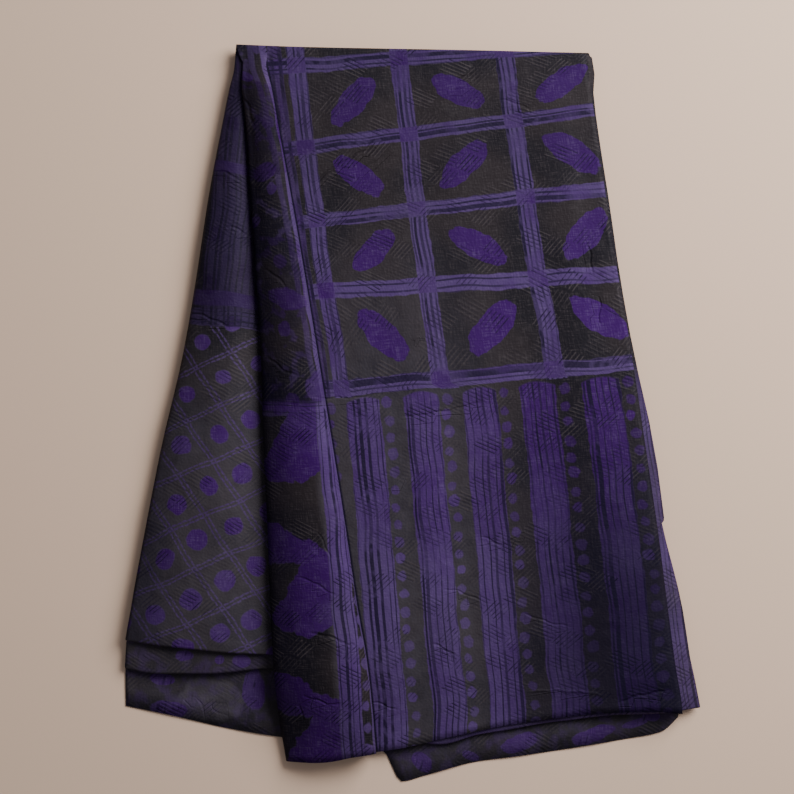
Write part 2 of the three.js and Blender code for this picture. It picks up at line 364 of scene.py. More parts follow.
def curve_through(knots, steps):
    """A smooth curve through each row of knots, up to the last but one, which only guides it."""
    gap = np.sqrt(np.linalg.norm(np.diff(knots, axis=1), axis=2, keepdims=True))
    slope = np.diff(knots, axis=1) / gap
    inner = (slope[:, :-1] * gap[:, 1:] + slope[:, 1:] * gap[:, :-1]) / (gap[:, :-1] + gap[:, 1:])
    speed = np.concatenate([slope[:, :1], inner], axis=1)
    pieces = []
    for i in range(knots.shape[1] - 2):
        a, b = knots[:, i], knots[:, i + 1]
        start, finish = speed[:, i] * gap[:, i], speed[:, i + 1] * gap[:, i]
        for t in np.arange(steps) / steps:
            pieces.append(a + start * t + (3 * (b - a) - 2 * start - finish) * t**2
                          + (2 * (a - b) + start + finish) * t**3)
    return np.stack([*pieces, knots[:, -2]], axis=1)


def front_rows(count):
    def placed(column):
        return lambda y, down: front_place(column, y)

    panel_columns = [(across, "panel", run, 0) for across, run in zip(panel_across, panel_runs)]
    edge = rows_down(count, [placed(column) for column in edge_columns], 0, front_end)
    panel = rows_down(count, [placed(column) for column in panel_columns], 0, front_end)
    return np.concatenate([curve_through(edge, edge_steps), panel], axis=1)


front = front_rows(front_row_count)
parts = [column[1] for column in edge_columns]
ridge_column = edge_steps * (parts.index("pleat") - 1)
tuck_column = ridge_column + 2 * edge_steps
print("front length:", front.shape[0], "rows of", front.shape[1], "points")

# %% [markdown]
# ## Creases
# A cloth that has been folded, carried and laid down keeps creases. The main ones are listed one
# by one: each is a soft trough or ridge along a line, deepest in its middle, with its own length,
# depth and width. They are added to the sheet itself, so they catch the light from every side.
# Fine wrinkles are left to the finish.

# %% Creases of the front
creases = table(
    "x0 y0 x1 y1 depth width",
    (-108, 236, -39, 278, -1.5, 5), (-60, 254, -22, 284, -0.9, 6),
    (-10, -2, 76, 14, -1.6, 5), (-95, 22, 10, 18, -0.8, 6),
    (-30, -78, -12, -68, 0.9, 3.5), (94, -136, 114, -121, 1.0, 3.5),
    (66, -128, 96, -138, -1.0, 4), (20, -241, 44, -250, -1.2, 4),
    (-45, -302, -18, -308, -1.0, 4), (-52, -223, -8, -236, -0.8, 5),
    (40, 346, 66, 354, -0.8, 4), (8, 335, 62, 318, -0.6, 5),
    (181, 175, 184, 148, -1.2, 4.5), (195, 124, 194, 96, -1.2, 4.5),
    (164, 244, 170, 198, 0.9, 6), (196, 176, 204, 128, 1.0, 6),
    (212, -300, 272, -288, -2.2, 6), (120, -288, 205, -292, 0.9, 8),
    (-20, 214, 30, 204, 0.6, 7), (92, 60, 150, 72, -0.6, 7),
    (-107, -226, -56, -241, 1.2, 5), (-80, -232, -64, -240, -1.0, 4),
    (-120, -165, -74, -190, -0.8, 6), (-114, -292, -72, -300, -1.4, 6),
    (30, -180, 76, -196, -0.7, 6), (110, -205, 168, -222, -0.7, 7),
    (-150, 165, -120, 152, 0.7, 5), (-146, 74, -114, 58, -0.8, 5),
    (60, 150, 96, 162, -0.6, 6), (-62, 110, -18, 96, 0.5, 7),
)


def crease_height(x, y):
    total = np.zeros_like(x)
    for x0, y0, x1, y1, depth, width in zip(*creases.values()):
        length = math.hypot(x1 - x0, y1 - y0)
        along = ((x - x0) * (x1 - x0) + (y - y0) * (y1 - y0)) / length**2
        beside = ((x - x0) * (y1 - y0) - (y - y0) * (x1 - x0)) / length
        fade = np.clip(along * (1 - along) * 4, 0, 1) ** 0.5
        total += depth * fade * np.exp(-((beside / width) ** 2))
    return total


front[..., 2] += crease_height(front[..., 0], front[..., 1])
print(len(creases["x0"]), "creases pressed into the front")

# %% [markdown]
# ## The lengths underneath
# The five lengths below are plainer: each follows the pile's sides and its share of the swells.
# At the top fold their columns lie where the front's do, and further down they spread out evenly.
# A gentle ripple, different in each length, keeps the stack of edges from looking machined.

# %% Hidden lengths and folds
even_by = 0.35
column_bias = 1.0735
fold_steps = 6
ripple_height = 0.45
ripple_width, ripple_lean, ripple_shift = 83, 0.7, 0.37


def hidden_rows(length, across):
    def placed(share, index_share):
        def place(y, down):
            left = line_at("pile_left", y) + length["left_in"]
            right = line_at(length["right"], y) - length["right_in"]
            x = mix(left, right, mix(share, index_share**column_bias, smooth(down / even_by)))
            turns = (x + ripple_lean * y) / ripple_width + ripple_shift * length["level"]
            ripple = ripple_height * (1 + np.sin(2 * np.pi * turns)) * smooth(down / even_by)
            z = layer_base + length["level"] * layer_pitch + length["arch"] * swell_at(x, y)
            return np.stack([x, y, z + ripple], axis=-1)

        return place

    index = np.linspace(0, 1, len(across))
    columns = [placed(*shares) for shares in zip(across, index)]
    return rows_down(length["rows"], columns, length["top_in"], length["end"])


def fold_rows(before, last, following):
    """The rounded fold between the last row of one length and the first row of the next."""
    outward = np.sign(last[:, 1] - before[:, 1])
    radius = abs(last[:, 2] - following[:, 2]) / 2
    rows = []
    for turn in np.linspace(0, np.pi, fold_steps + 1)[1:-1]:
        row = mix(last, following, 0.5 - 0.5 * math.cos(turn))
        row[:, 1] += outward * radius * math.sin(turn)
        rows.append(row)
    return np.array(rows)


def whole_cloth():
    """The cloth as one grid of points, and the number of the length that each row belongs to."""
    knots = [column[0] for column in edge_columns[:-1]]
    fine = np.arange((len(knots) - 1) * edge_steps + 1) / edge_steps
    across = [*np.interp(fine, range(len(knots)), knots), *panel_across]
    grid, owner = front[::-1], [0] * len(front)
    for number, length in enumerate(hidden_lengths):
        rows = hidden_rows(length, across)
        rows = rows if number % 2 == 0 else rows[::-1]
        bend = fold_rows(grid[-2], grid[-1], rows[0])
        grid = np.concatenate([grid, bend, rows])
        owner += [number] * len(bend) + [number + 1] * len(rows)
    return grid, np.array(owner)


grid, owner = whole_cloth()
print("whole cloth:", grid.shape[0], "rows of", grid.shape[1], "points")

# %% [markdown]
# ## Where the print lies on the cloth
# The print was drawn on flat cloth, so its lines follow the weave and bend with it. A second set
# of short tables says where the print's own lines run on the laid cloth. Places between them are
# shared out, which gives each point of the cloth a place in the print's own measure. It is kept
# in a UV map, in metres, so all patterns can be drawn with plain straight formulas. A small smooth
# stray is added to the map, because the lines were drawn by hand. A second map, of the pile, holds
# how far a point lies from the ridge: the strips and the painted shadow along it need that.

# %% Print coordinates
window_wide = 112
window_high = 80
stripe_pitch = 61.5
front_lines = table(
    "high low print", (-323, -323, -324), (-304, -309, -306), (-196, -204, -194),
    (-86, -82, -82), (0, 0, 0),
)
stripe_lines = table(
    "high low print", (-288.8, -304.5, -287), (-228.4, -241, -225.5), (-166.4, -182.2, -164),
    (-105.5, -115.5, -102.5), (-37.3, -44.1, -41),
)
cross_lines = table(
    "left right print", (365.4, 385.4, 0), (280.4, 318.2, 80), (201.7, 234.5, 160),
    (129.2, 145.4, 240), (24.2, 49.4, 320), (-342.3, -316, 686),
)
cross_from, cross_to = -100, 190
windows_high, windows_run, windows_end = 360, 345, 326
stripes_high, stripes_run = -6, 289
roll_print_x, roll_print_lean = -94.6, -0.085
front_stray, roll_stray, pile_stray = 0.55, 0.7, 1


def among(lines, start, finish, share, at):
    """A place among lines that drift from one side to the other, in the print's own measure."""
    spots = [mix(a, b, share) for a, b in zip(lines[start], lines[finish])]
    marks = lines["print"]
    out = 0
    for i in range(len(spots) - 1):
        step = (marks[i + 1] - marks[i]) / (spots[i + 1] - spots[i])
        here = marks[i] + (at - spots[i]) * step
        out = here if i == 0 else np.where((at - spots[i]) * step > 0, here, out)
    return out


def front_print(x, y):
    """Places on the front, counted from its right edge and down from its top border."""
    u = x - line_at("front_right", y)
    down = among(cross_lines, "left", "right", (x - cross_from) / (cross_to - cross_from), y)
    windows = among(front_lines, "high", "low", (windows_high - y) / windows_run, u)
    stripes = among(stripe_lines, "high", "low", (stripes_high - y) / stripes_run, u)
    return np.stack([np.where(down < windows_end, windows, stripes), down], axis=-1)


def from_ridge(points):
    """Distance of each point from the ridge, measured over the cloth."""
    step = np.linalg.norm(np.diff(points, axis=1), axis=2)
    arc = np.concatenate([np.zeros((len(points), 1)), np.cumsum(step, axis=1)], axis=1)
    return arc - arc[:, ridge_column : ridge_column + 1]


def wander(places, amount):
    """The print's lines as a hand draws them: each place strays a little, and smoothly."""
    u, v = places[..., 0], places[..., 1]
    sideways = np.sin(v / 23 + 1.7 * np.sin(u / 41)) + 0.6 * np.sin(v / 9.7 + u / 17)
    lengthways = np.sin(u / 19 + 1.9 * np.sin(v / 47)) + 0.6 * np.sin(u / 8.3 - v / 21)
    return places + np.stack([sideways, lengthways], axis=-1) * amount


def print_places(points):
    """The print's own place of each point, once for each zone that may show there."""
    x, y = points[..., 0], points[..., 1]
    ridge_place = line_at("ridge", y) - (roll_print_x + roll_print_lean * y)
    roll = np.stack([from_ridge(points) + ridge_place, -y], axis=-1)
    plan = wander(np.stack([x, -y], axis=-1), pile_stray)
    beside = np.stack([x - line_at("front_right", y), -y], axis=-1)
    front_places = wander(front_print(x, y), front_stray)
    return np.stack([front_places, wander(roll, roll_stray), plan, beside, plan])


def pile_places(points):
    """How far each point lies from the ridge: over the cloth on the roll, and level elsewhere."""
    x, y = points[..., 0], points[..., 1]
    panel = np.stack([x - line_at("ridge", y), y], axis=-1)
    roll = np.stack([from_ridge(points), y], axis=-1)
    return np.stack([panel, roll, panel, panel, panel])


PANEL, ROLL, LOBE, SIDE, REAR = range(5)
print_uv = print_places(grid) * MM
pile_uv = pile_places(grid) * MM
print("print places from", print_uv[PANEL].min(axis=(0, 1)), "to", print_uv[PANEL].max(axis=(0, 1)))

# %% [markdown]
# Creases too thin for the sheet's grid are drawn by the finish. A third map holds how far a point
# lies beside the nearest one, counted in the crease's own width, and how deep that crease is. Both
# change evenly between points, so the line stays sharp however coarse the grid.

# %% Thin creases
thin_creases = table(
    "x0 y0 x1 y1 bow width deep", (-109, 235, -38, 279, 5, 1.1, 0.9),
    (-62, 252, -24, 283, -4, 0.9, 0.5), (-12, -3, 78, 15, -3, 1.1, 0.8),
    (70, -128, 98, -139, 1, 0.9, 0.6), (20, -240, 46, -252, 1, 1.1, 0.7),
    (-44, -301, -16, -309, 1, 0.9, 0.6), (44, 346, 66, 358, 1, 0.9, 0.6),
    (-30, -82, -10, -66, 0, 1.0, -0.6), (94, -137, 116, -120, 0, 1.0, -0.6),
    (0, 76, 10, 84, 0, 1.0, -0.5), (-105, 18, -30, 22, -3, 0.9, 0.6),
    (182, 180, 188, 146, 1, 1.0, 0.7), (195, 124, 194, 92, 1, 1.0, 0.7),
    (34, 338, 62, 350, -4, 0.9, 0.5), (90, 328, 124, 318, 2, 0.9, 0.5),
    (-108, -226, -56, -242, 2, 1.2, 0.9), (-80, -232, -64, -241, 0, 0.9, 0.6),
    (-114, -292, -74, -301, -2, 1.0, 0.8), (-122, -168, -78, -190, 3, 1.0, 0.6),
    (-120, -300, -110, -322, 0, 1.0, 0.7), (214, -302, 268, -288, 2, 1.2, 0.9),
    (120, -290, 200, -294, 3, 1.1, -0.6), (-100, -120, -84, -150, 1, 0.9, 0.5),
    (32, -182, 74, -196, 2, 0.9, 0.5), (112, -206, 166, -222, -2, 0.9, 0.5),
    (-208, 254, -178, 244, 2, 1.1, 0.7), (-196, 196, -170, 186, 2, 1.0, 0.6),
    (-238, 106, -190, 90, 3, 1.1, 0.8), (-252, -318, -236, -296, 2, 1.0, 0.4),
    (-222, -300, -214, -324, 0, 1.0, 0.4), (-214, -306, -190, -302, 0, 0.9, 0.3),
    (-176, 330, -166, 300, 2, 1.2, 0.8), (-170, 240, -140, 262, -2, 1.0, 0.6),
    (-154, 150, -130, 132, 2, 1.1, 0.6), (-150, 60, -118, 40, -3, 1.1, 0.7),
)
crease_reach = 8
crease_spread = 1.8


def crease_places(points):
    """How far each point lies beside the nearest thin crease, and that crease's depth there."""
    x, y = points[..., 0], points[..., 1]
    nearest = np.full(x.shape + (2,), [float(crease_reach), 0.0])
    strongest = np.zeros(x.shape)
    for x0, y0, x1, y1, bow, width, deep in zip(*thin_creases.values()):
        half = math.hypot(x1 - x0, y1 - y0) / 2
        cosine, sine = (x1 - x0) / half / 2, (y1 - y0) / half / 2
        dx, dy = x - (x0 + x1) / 2, y - (y0 + y1) / 2
        along = (dx * cosine + dy * sine) / half
        stray = 0.7 * np.sin(along * half / 3.1 + x0) + 0.5 * np.sin(along * half / 5.3)
        beside = dy * cosine - dx * sine + (along**2 - 1) * bow + stray
        fade = 1 - smooth((abs(along) - 0.6) / 0.5)
        strength = fade * np.clip(1 - abs(beside) / crease_reach, 0, 1)
        place = np.stack([beside / (width * crease_spread), deep * fade], axis=-1)
        nearest = np.where((strength > strongest)[..., None], place, nearest)
        strongest = np.maximum(strength, strongest)
    return nearest


crease_uv = np.stack([crease_places(grid)] * 5) * MM
print(len(thin_creases["x0"]), "thin creases")

# %% [markdown]
# ## The sheet
# The grid becomes a closed sheet of even thickness: one skin a little above the grid, one a little
# below, and a rim that joins them. A Solidify modifier would do the same, but with the skins made
# here each face can be told which part of the print it shows.

# %% Build the mesh
side_from_x = 0
lobe_lengths = 2


def zone_of_faces():
    rows, columns = grid.shape[0] - 1, grid.shape[1] - 1
    length = np.repeat(owner[1:, None], columns, axis=1)
    column = np.repeat(np.arange(columns)[None], rows, axis=0)
    middle_x = (grid[:-1, :-1, 0] + grid[1:, 1:, 0]) / 2
    zone = np.where(column < tuck_column, ROLL, PANEL)
    under = np.where(length <= lobe_lengths, LOBE, REAR)
    above_rear = length < len(hidden_lengths)
    under = np.where((middle_x > side_from_x) & above_rear, SIDE, under)
    return np.where(length == 0, zone, under)


def skins(points, thick):
    along = np.gradient(points, axis=0)
    across = np.gradient(points, axis=1)
    normal = np.cross(across, along)
    normal /= np.linalg.norm(normal, axis=2, keepdims=True)
    return np.concatenate([points + normal * thick / 2, points - normal * thick / 2])


def sheet_faces():
    """The corners of every face, and the face's zone."""
    rows, columns = grid.shape[:2]
    number = np.arange(rows * columns).reshape(rows, columns)
    under = number + rows * columns
    zone = zone_of_faces()
    upper = [number[:-1, :-1], number[:-1, 1:], number[1:, 1:], number[1:, :-1]]
    lower = [under[:-1, :-1], under[1:, :-1], under[1:, 1:], under[:-1, 1:]]
    faces = [np.stack(upper, -1).reshape(-1, 4), np.stack(lower, -1).reshape(-1, 4)]
    zones = [zone.ravel(), zone.ravel()]
    rims = [
        (number[:-1, 0], number[1:, 0], under[1:, 0], under[:-1, 0], zone[:, 0]),
        (number[1:, -1], number[:-1, -1], under[:-1, -1], under[1:, -1], zone[:, -1]),
        (number[0, 1:], number[0, :-1], under[0, :-1], under[0, 1:], zone[0]),
        (number[-1, :-1], number[-1, 1:], under[-1, 1:], under[-1, :-1], zone[-1]),
    ]
    for *corners, rim_zone in rims:
        faces.append(np.stack(corners, -1))
        zones.append(rim_zone)
    return np.concatenate(faces), np.concatenate(zones)


def build_sheet():
    points = skins(grid, cloth_thick) * MM
    faces, zones = sheet_faces()
    mesh = bpy.data.meshes.new("printed_cloth")
    mesh.from_pydata(points.reshape(-1, 3).tolist(), [], faces.tolist())
    maps = {"print": print_uv, "pile": pile_uv, "creases": crease_uv}
    for name, places in maps.items():
        flat = places.reshape(len(places), -1, 2)
        corners = flat[zones[:, None], faces % flat.shape[1]]
        layer = mesh.uv_layers.new(name=name)
        layer.data.foreach_set("uv", corners.astype(np.float32).ravel())
    mesh.polygons.foreach_set("material_index", zones.astype(np.int32))
    mesh.polygons.foreach_set("use_smooth", np.ones(len(faces), bool))
    mesh.update()
    sheet = bpy.data.objects.new("printed_cloth", mesh)
    bpy.context.collection.objects.link(sheet)
    print("sheet:", len(points.reshape(-1, 3)), "points,", 2 * len(faces), "triangles")
    return sheet


cloth = build_sheet()

# %% [markdown]
# ## Sums with nodes
# The patterns are formulas, and a formula in nodes is a long chain of Math nodes. This small class
# lets them be written as plain sums: each sum adds the node and hands back its output.

# %% A helper for node sums
def feed(tree, value, socket):
    """Links an output to a socket, or sets a plain number there."""
    if isinstance(value, Wire):
        tree.links.new(value.socket, socket)
    else:
        socket.default_value = value


class Wire:
    """A number that varies over the cloth: a node's output, ready for sums."""

    def __init__(self, tree, socket):
        self.tree = tree
        self.socket = socket

    def math(self, operation, *others):
        node = self.tree.nodes.new("ShaderNodeMath")
        node.operation = operation
        for value, socket in zip((self, *others), node.inputs):
            feed(self.tree, value, socket)
        return Wire(self.tree, node.outputs[0])

    def __add__(self, other):
        return self.math("ADD", other)

    def __sub__(self, other):
        return self.math("SUBTRACT", other)

    def __mul__(self, other):
        return self.math("MULTIPLY", other)

    def __truediv__(self, other):
        return self.math("DIVIDE", other)

    def size(self):
        return self.math("ABSOLUTE")

    def floor(self):
        return self.math("FLOOR")

    def above(self, limit):
        return self.math("GREATER_THAN", limit)

    def smaller(self, other):
        return self.math("MINIMUM", other)

    def larger(self, other):
        return self.math("MAXIMUM", other)

    def less_one(self):
        """What is left of one: turns a mask inside out."""
        return self * -1 + 1

    def rising(self, low, high):
        """From 0 to 1 as the number goes from low to high, with soft ends."""
        node = self.tree.nodes.new("ShaderNodeMapRange")
        node.interpolation_type = "SMOOTHSTEP"
        for value, name in ((self, "Value"), (low, "From Min"), (high, "From Max")):
            feed(self.tree, value, node.inputs[name])
        return Wire(self.tree, node.outputs[0])

    def within(self, half, soft):
        """A mask of the places nearer than half, with an edge of the given softness."""
        return self.rising(half - soft, half + soft).less_one()


def texture_at(tree, kind, *place):
    """A texture node of a kind, read at a place given as up to three numbers."""
    node = tree.nodes.new(kind)
    vector = tree.nodes.new("ShaderNodeCombineXYZ")
    for value, socket in zip(place, vector.inputs):
        feed(tree, value, socket)
    tree.links.new(vector.outputs[0], node.inputs["Vector"])
    return node


def three_parts(tree, node):
    """The parts of a texture's colour, each a number of its own."""
    parts = tree.nodes.new("ShaderNodeSeparateColor")
    tree.links.new(node.outputs["Color"], parts.inputs[0])
    return [Wire(tree, output) for output in parts.outputs]


def grain_node(tree, u, v, size, seed, detail):
    node = texture_at(tree, "ShaderNodeTexNoise", u / size + seed, v / size - seed)
    node.noise_dimensions = "2D"
    node.inputs["Scale"].default_value = 1
    node.inputs["Detail"].default_value = detail
    return node


def grain(tree, u, v, size, seed, detail=0.0):
    """A smooth noise in patches of a size, around a half."""
    return Wire(tree, grain_node(tree, u, v, size, seed, detail).outputs["Fac"])


def three_grains(tree, u, v, size, seed, detail=0.0):
    """Three smooth noises that have nothing to do with each other."""
    return three_parts(tree, grain_node(tree, u, v, size, seed, detail))


def chance(tree, a, b, seed):
    """Three even random numbers for a cell, the same each time."""
    return three_parts(tree, texture_at(tree, "ShaderNodeTexWhiteNoise", a, b, seed))


def mix_wires(first, second, share):
    return first * share.less_one() + second * share


def blend(tree, share, first, second):
    """A colour between two, each a plain colour or an output."""
    node = tree.nodes.new("ShaderNodeMix")
    node.data_type = "RGBA"
    feed(tree, share, node.inputs["Factor"])
    for value, socket in ((first, node.inputs[6]), (second, node.inputs[7])):
        feed(tree, value if isinstance(value, Wire) else (*value, 1), socket)
    return Wire(tree, node.outputs[2])


# %% [markdown]
# Effects that several finishes share are made once, as node groups. Each has named inputs and
# outputs, so a finish only says its own sizes.

# %% A helper for node groups
KINDS = {"color": "NodeSocketColor", "value": "NodeSocketFloat"}


def new_group(name, inputs, outputs, work):
    """A shader node group. work gets the inputs by name and gives the outputs by name."""
    group = bpy.data.node_groups.new(name, "ShaderNodeTree")
    for title, value in inputs.items():
        socket = group.interface.new_socket(title, in_out="INPUT", socket_type="NodeSocketFloat")
        socket.default_value = value
    for title, kind in outputs.items():
        group.interface.new_socket(title, in_out="OUTPUT", socket_type=KINDS[kind])
    way_in = group.nodes.new("NodeGroupInput")
    way_out = group.nodes.new("NodeGroupOutput")
    wires = [Wire(group, way_in.outputs[title]) for title in inputs]
    for title, value in zip(outputs, work(group, *wires)):
        feed(group, value, way_out.inputs[title])
    return group


def use(tree, group, **values):
    """Places a group and hands back its outputs, in order."""
    node = tree.nodes.new("ShaderNodeGroup")
    node.node_tree = group
    for title, value in values.items():
        feed(tree, value, node.inputs[title])
    return [Wire(tree, output) for output in node.outputs]


# %% [markdown]
# ## Shared effects of the dyeing
# Resist dyeing is drawn by hand with wax or paste. Edges are ragged, dots differ, and stripes
# carry thin dark lines where the resist was combed away. Each of these is one group, with lengths
# in millimetres.

# %% Groups: lined stripe, dots
def lined_stripe(tree, across, along, half, pitch, line, seed):
    """A ragged stripe with dark lines a pitch apart, each with its own place and width."""
    patchy = grain(tree, across * 0.5, along, 60, seed)
    ragged = grain(tree, across, along * 0.6, 5, seed + 5)
    edge = (across + (ragged - 0.5) * 1.8).size().within(half, 0.7)
    position = (across + (patchy - 0.5) * 4) / pitch
    index = position.floor()
    one, two, three = chance(tree, index, seed, 1.7)
    beside = (position - index - 0.5 + (one - 0.5) * 0.5).size() * pitch
    width = line * (two.math("POWER", 4) * 1.9 + 0.6) + (patchy - 0.5) * 0.4
    dark = beside.within(width, 0.4) * (three * 0.3 + 0.6)
    faded = (patchy + (ragged - 0.5) * 0.5).rising(0.3, 0.5) * 0.45 + 0.55
    return edge, dark * faded * edge


def dot_column(tree, across, along, spacing, radius, seed):
    """Dots one below another, each a little off its place and of its own size and strength."""
    row = (along / spacing).floor()
    one, two, three = chance(tree, row, seed, 4.2)
    sideways = across + (one - 0.5) * 3.2
    lengthways = along - (row + 0.5) * spacing + (two - 0.5) * 3.6
    far = (sideways * sideways + lengthways * lengthways * 0.8).math("SQRT")
    ragged = grain(tree, across, along, 5, seed)
    round_dot = (far + (ragged - 0.5) * 2.2).within(radius * (three * 0.3 + 0.85), 0.9)
    return (round_dot * (one * two * 0.5 + 0.65),)


stripe = new_group(
    "lined stripe",
    {"Across": 0, "Along": 0, "Half": 18, "Pitch": 7, "Line": 0.8, "Seed": 0},
    {"Ink": "value", "Dark": "value"}, lined_stripe,
)
dots = new_group(
    "column of dots", {"Across": 0, "Along": 0, "Spacing": 18, "Radius": 5, "Seed": 0},
    {"Ink": "value"}, dot_column,
)
print("groups:", [group.name for group in bpy.data.node_groups])

# %% [markdown]
# The cloth is a figured weave: small blocks of parallel lines run two ways, like a basket. They
# show as fine hatching under the print. Two slanted axes make it simple: each row of blocks has
# long ones whose lines follow the first axis, and short ones whose lines follow the second.

# %% Group: woven figure
figure_fall, figure_rise = math.radians(29), math.radians(41)
figure_row = 24
figure_every = 78
figure_share = 0.7
figure_pitch = 4.0


def woven_figure(tree, across, along):
    """Raised threads, from -1 to 1, in blocks that run two ways."""
    lean = math.sin(figure_fall + figure_rise)
    first = (across * math.sin(figure_rise) + along * math.cos(figure_rise)) / lean
    second = (across * math.sin(figure_fall) - along * math.cos(figure_fall)) / lean
    row = (second / figure_row).floor()
    in_row = second / figure_row - row
    offset, _, _ = chance(tree, row, 1.3, 5.5)
    place = first / figure_every + offset
    column = place.floor()
    in_column = place - column
    long_block = in_column.above(figure_share).less_one()
    one, two, _ = chance(tree, row, column * 2 + long_block, 6.6)
    lines = mix_wires(first, second, long_block) / figure_pitch
    wave = (lines * (2 * math.pi)).math("SINE")
    wave = wave * wave.size()
    middle = long_block * (figure_share - 1) / 2 + (1 + figure_share) / 2
    half = long_block * (figure_share - 0.5) + (1 - figure_share) / 2 - 0.025
    inside = (in_row - 0.5).size().within(0.42, 0.05) * (in_column - middle).size().within(half, 0.02)
    return (wave * inside * one.above(0.22) * (two * 0.6 + 0.4),)


figure = new_group("woven figure", {"Across": 0, "Along": 0}, {"Line": "value"}, woven_figure)
print("group:", figure.name)

# %% [markdown]
# ## Dye and surface
# The ground is almost black, with a brown cast in places. The resisted parts are violet, and they
# vary from lilac to deep violet because they were dipped by hand. The ink mask picks between them.
# The woven figure shows as lighter threads on the ground and as dark lines on the violet. The
# surface has the weave, the raised figure and fine wrinkles as a height for a Bump node.

# %% Groups: dye and surface
ground_black = (0.0090, 0.0074, 0.0110)
ground_brown = (0.0185, 0.0142, 0.0165)
lilac = (0.062, 0.034, 0.112)
deep_violet = (0.031, 0.0030, 0.076)
pale_thread = (0.105, 0.066, 0.165)
figure_brown = (0.042, 0.034, 0.038)
line_navy = (0.0045, 0.0026, 0.0130)
wear_and_sheen_grey = (0.056, 0.048, 0.061)


def dyed(tree, ink, dark, strength, shade, wear_and_sheen, across, along, line):
    """The cloth's colour: a ground and a violet are each mixed first, and the ink picks one."""
    broad, middle, third = three_grains(tree, across, along, 85, 1.3, detail=1)
    small, cloud, _ = three_grains(tree, across, along, 15, 7.9, detail=2)
    warp = grain(tree, across * 7, along * 0.6, 7, 2.7)
    weft = grain(tree, across * 0.6, along * 7, 7, 9.7)
    thread = (warp + weft - 1) * 2.4
    light = line.larger(0) * (cloud.rising(0.35, 0.6) * 0.7 + 0.3)
    ground = blend(tree, broad.rising(0.35, 0.65), ground_black, ground_brown)
    # The ground is lifted to grey where a finish asks: a painted sheen on the front, a paler ground
    # elsewhere.
    ground = blend(tree, wear_and_sheen * (cloud + 0.4), ground, wear_and_sheen_grey)
    ground = blend(tree, light + (thread * 0.4).larger(0), ground, figure_brown)
    hue = strength + (middle - 0.5) * 0.9 + (small - 0.5) * 0.5
    violet = blend(tree, hue, lilac, deep_violet)
    lighter = (thread * 0.5 + (cloud - 0.5) * 0.8).larger(0) * 0.5
    violet = blend(tree, lighter, violet, pale_thread)
    groove = (line * -1).larger(0) * (small.rising(0.4, 0.6) * 0.6 + 0.35)
    violet = blend(tree, dark.larger(groove), violet, line_navy)
    color = blend(tree, ink * (third * 0.3 + 0.8), ground, violet)
    # Shade darkens the colour towards navy: painted shade in most finishes, and in places a darker tone.
    return (blend(tree, shade + groove * 0.4, color, line_navy),)


def cloth_surface(tree, across, along, line, ink):
    """Roughness, and a height in millimetres: broad folds with a crease where they meet, and grain."""
    soft = grain(tree, across, along, 28, 5.5, detail=1)
    fine = grain(tree, across, along, 2.4, 9.1)
    height = soft * 0.6 - (soft - 0.5).size() + line * 0.09 + fine * 0.2
    roughness = fine * 0.14 + 0.54 + ink * 0.03
    return roughness, height


dye_inputs = ("Ink", "Dark", "Strength", "Shade", "Worn", "Across", "Along", "Line")
dye_and_shade = new_group("hand dye and painted shade", dict.fromkeys(dye_inputs, 0), {"Color": "color"}, dyed)
surface = new_group("cloth surface", {"Across": 0, "Along": 0, "Line": 0, "Ink": 0},
                    {"Roughness": "value", "Height": "value"}, cloth_surface)
print("groups:", dye_and_shade.name, "and", surface.name)

# %% [markdown]
# ## One finish for each part of the print
# All five finishes share one skeleton: read the print's place from the UV map, draw the ink mask,
# dye the cloth, and give it its surface. Only the drawing of the mask differs, so each part of the
# print is one short function. It hands back the ink, the dark lines on it, how deep its violet is,
# how far painted shade darkens it, with a darker tone in places, and how far its ground is lifted
# to grey: a painted sheen on the front, a paler ground elsewhere.

# %% The shared skeleton
def place_on(tree, uv_name):
    """The two coordinates of a UV map, in millimetres."""
    uv = tree.nodes.new("ShaderNodeUVMap")
    uv.uv_map = uv_name
    parts = tree.nodes.new("ShaderNodeSeparateXYZ")
    tree.links.new(uv.outputs[0], parts.inputs[0])
    return [Wire(tree, parts.outputs[i]) / MM for i in range(2)]


def print_finish(name, draw, shine=0.09):
    material = bpy.data.materials.new(name)
    material.use_nodes = True
    tree = material.node_tree
    shader = tree.nodes["Principled BSDF"]
    u, v = place_on(tree, "print")
    line, = use(tree, figure, Across=u, Along=v)
    ink, dark, strength, shade, wear_and_sheen = draw(tree, u, v)
    color, = use(tree, dye_and_shade, Ink=ink, Dark=dark, Strength=strength, Shade=shade, Worn=wear_and_sheen,
                 Across=u, Along=v, Line=line)
    roughness, height = use(tree, surface, Across=u, Along=v, Line=line, Ink=ink)
    beside, deep = place_on(tree, "creases")
    height = height - beside.size().within(0.6, 0.6) * deep
    feed(tree, color, shader.inputs["Base Color"])
    feed(tree, roughness, shader.inputs["Roughness"])
    shader.inputs["Specular IOR Level"].default_value = shine
    bump = tree.nodes.new("ShaderNodeBump")
    bump.inputs["Distance"].default_value = MM
    feed(tree, height, bump.inputs["Height"])
    tree.links.new(bump.outputs[0], shader.inputs["Normal"])
    return material


# %% [markdown]
# ### The front: windows above, stripes below
# Bands cross to make windows, and each window holds one pointed oval, leaning left and right in
# turn. Below a double border run broad lined stripes with a column of dots between each two. At
# the left the panel comes out from under the ridge, and its first few millimetres carry a painted
# shadow. Painted shade darkens the lower right, and a painted sheen lightens the left middle.

# %% The front's print
band_half = 9.5
cross_half = 7.5
band_from = -82
margin_from, margin_pitch = -320.5, 8.5
oval_long, oval_wide = 32, 13.5
oval_tilt = math.radians(36)
border_low = 329
stripe_from = 331
stripe_half = 18
stripe_bow = 70
last_stripe = -41
dot_shift = 5
dot_every = 18.3


